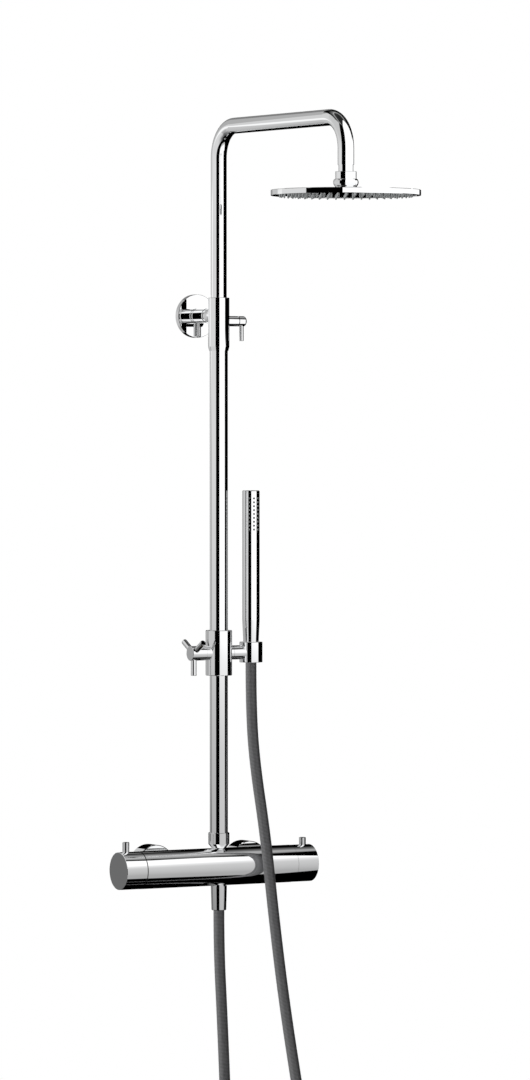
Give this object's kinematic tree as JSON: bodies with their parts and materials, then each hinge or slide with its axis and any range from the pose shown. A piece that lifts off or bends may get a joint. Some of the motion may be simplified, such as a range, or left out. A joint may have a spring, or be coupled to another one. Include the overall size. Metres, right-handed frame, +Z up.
{
  "type": "rainfall shower column",
  "caption": "Exposed rain shower column: bar mixer, telescopic riser with a swivelling arm and flat rain head, and a slider with a stick handset on a hose.",
  "frame": {"origin": "on the wall's face, midway between the two water inlets, at the height of the mixer's axis", "axes": "+X right along the wall, +Y into the wall so the front faces -Y, +Z up along the riser"},
  "size_m": [0.305, 0.5275, 1.615],
  "materials": {
    "chrome": "polished",
    "brass": "machined",
    "steel": "satin",
    "white_plastic": "moulded",
    "black_plastic": "moulded",
    "silicone": "soft",
    "seal_rubber": "soft",
    "hose": "interlocked metal"
  },
  "bodies": {
    "root": {"mixer_body": "chrome", "thermostatic_cartridge": "black_plastic", "flow_cartridge": "black_plastic", "cartridge_retainers": "brass", "temperature_stop_ring": "black_plastic", "wall_unions": "brass", "union_nuts": "chrome", "inlet_rosettes": "chrome", "check_valves": "black_plastic", "inlet_seals": "seal_rubber", "riser_nut": "chrome", "riser_seal": "seal_rubber", "lower_tube": "chrome", "collar": "chrome", "collar_bush": "white_plastic", "wall_plate": "chrome", "wall_screws": "steel", "bracket_rosette": "chrome", "outlet_nipple": "chrome", "hose_nut": "chrome", "hose_washer": "seal_rubber", "hose_tail": "brass", "shower_hose": "hose"},
    "temperature_control": {"temperature_spindle": "brass", "temperature_handle": "chrome", "temperature_handle_pin": "chrome"},
    "flow_control": {"flow_spindle": "brass", "flow_handle": "chrome", "flow_handle_pin": "chrome"},
    "collar_clamp": {"collar_screw": "steel", "collar_knob": "chrome", "collar_knob_pin": "chrome"},
    "bracket_lock": {"lock_ring": "chrome", "lock_pin": "chrome"},
    "column_guide": {"guide_piston": "white_plastic", "piston_seals": "seal_rubber"},
    "arm": {"arm_tube": "chrome", "swivel_ball": "chrome"},
    "head_tilt": {"ball_seat": "white_plastic"},
    "head": {"swivel_nut": "chrome", "head_socket": "chrome", "head_shell": "chrome", "head_face": "chrome", "nozzle_mat": "silicone", "head_gasket": "seal_rubber"},
    "slide_bush": {"slider_bush": "white_plastic"},
    "slider": {"slider_body": "chrome", "pivot_screw": "steel"},
    "slider_clamp": {"slider_screw": "steel", "slider_knob": "chrome", "slider_knob_pins": "chrome"},
    "holder": {"holder": "chrome", "holder_liner": "white_plastic"},
    "hose_end": {"hose_cone": "chrome"},
    "handset": {"handset_body": "chrome", "handset_tail": "black_plastic", "handset_nozzles": "silicone"}
  },
  "joints": [
    {"name": "temperature_turn", "type": "hinge", "parent": "root", "child": "temperature_control", "pos_m": [-0.1472, -0.068, 0], "axis": [-1, 0, 0], "range_deg": [-160, 60]},
    {"name": "flow_turn", "type": "hinge", "parent": "root", "child": "flow_control", "pos_m": [0.1346, -0.068, 0], "axis": [1, 0, 0], "range_deg": [-90, 90]},
    {"name": "collar_clamp_turn", "type": "hinge", "parent": "root", "child": "collar_clamp", "pos_m": [0.0362, -0.068, 0.7542], "axis": [1, 0, 0], "range_deg": [0, 180]},
    {"name": "bracket_lock_turn", "type": "hinge", "parent": "root", "child": "bracket_lock", "pos_m": [0, -0.0132, 0.762], "axis": [0, 1, 0], "range_deg": [0, 90]},
    {"name": "column_height", "type": "slide", "parent": "root", "child": "column_guide", "axis": [0, 0, 1], "range_m": [-0.19, 0.15]},
    {"name": "arm_swing", "type": "hinge", "parent": "column_guide", "child": "arm", "pos_m": [0, -0.068, 1], "axis": [0, 0, 1], "range_deg": [-75, 75]},
    {"name": "head_tilt_turn", "type": "hinge", "parent": "arm", "child": "head_tilt", "pos_m": [0, -0.4055, 0.94], "axis": [1, 0, 0], "range_deg": [-12, 12]},
    {"name": "head_spin", "type": "hinge", "parent": "head_tilt", "child": "head", "pos_m": [0, -0.4055, 0.94], "axis": [0, 0, 1], "continuous": true},
    {"name": "slider_height", "type": "slide", "parent": "root", "child": "slide_bush", "axis": [0, 0, -1], "range_m": [-0.2, 0.015], "deforming": ["shower_hose"]},
    {"name": "slider_swing", "type": "hinge", "parent": "slide_bush", "child": "slider", "pos_m": [0, -0.068, 0.296], "axis": [0, 0, 1], "range_deg": [-60, 60]},
    {"name": "slider_clamp_turn", "type": "hinge", "parent": "slider", "child": "slider_clamp", "pos_m": [-0.04, -0.068, 0.296], "axis": [-1, 0, 0], "range_deg": [0, 180]},
    {"name": "holder_tilt", "type": "hinge", "parent": "slider", "child": "holder", "pos_m": [0.0275, -0.068, 0.296], "axis": [1, 0, 0], "range_deg": [-12, 45]},
    {"name": "handset_lift", "type": "slide", "parent": "holder", "child": "hose_end", "axis": [0, 0, 1], "range_m": [0, 0.04]},
    {"name": "handset_swivel", "type": "hinge", "parent": "hose_end", "child": "handset", "pos_m": [0.0515, -0.068, 0.4], "axis": [0, 0, 1], "continuous": true}
  ]
}
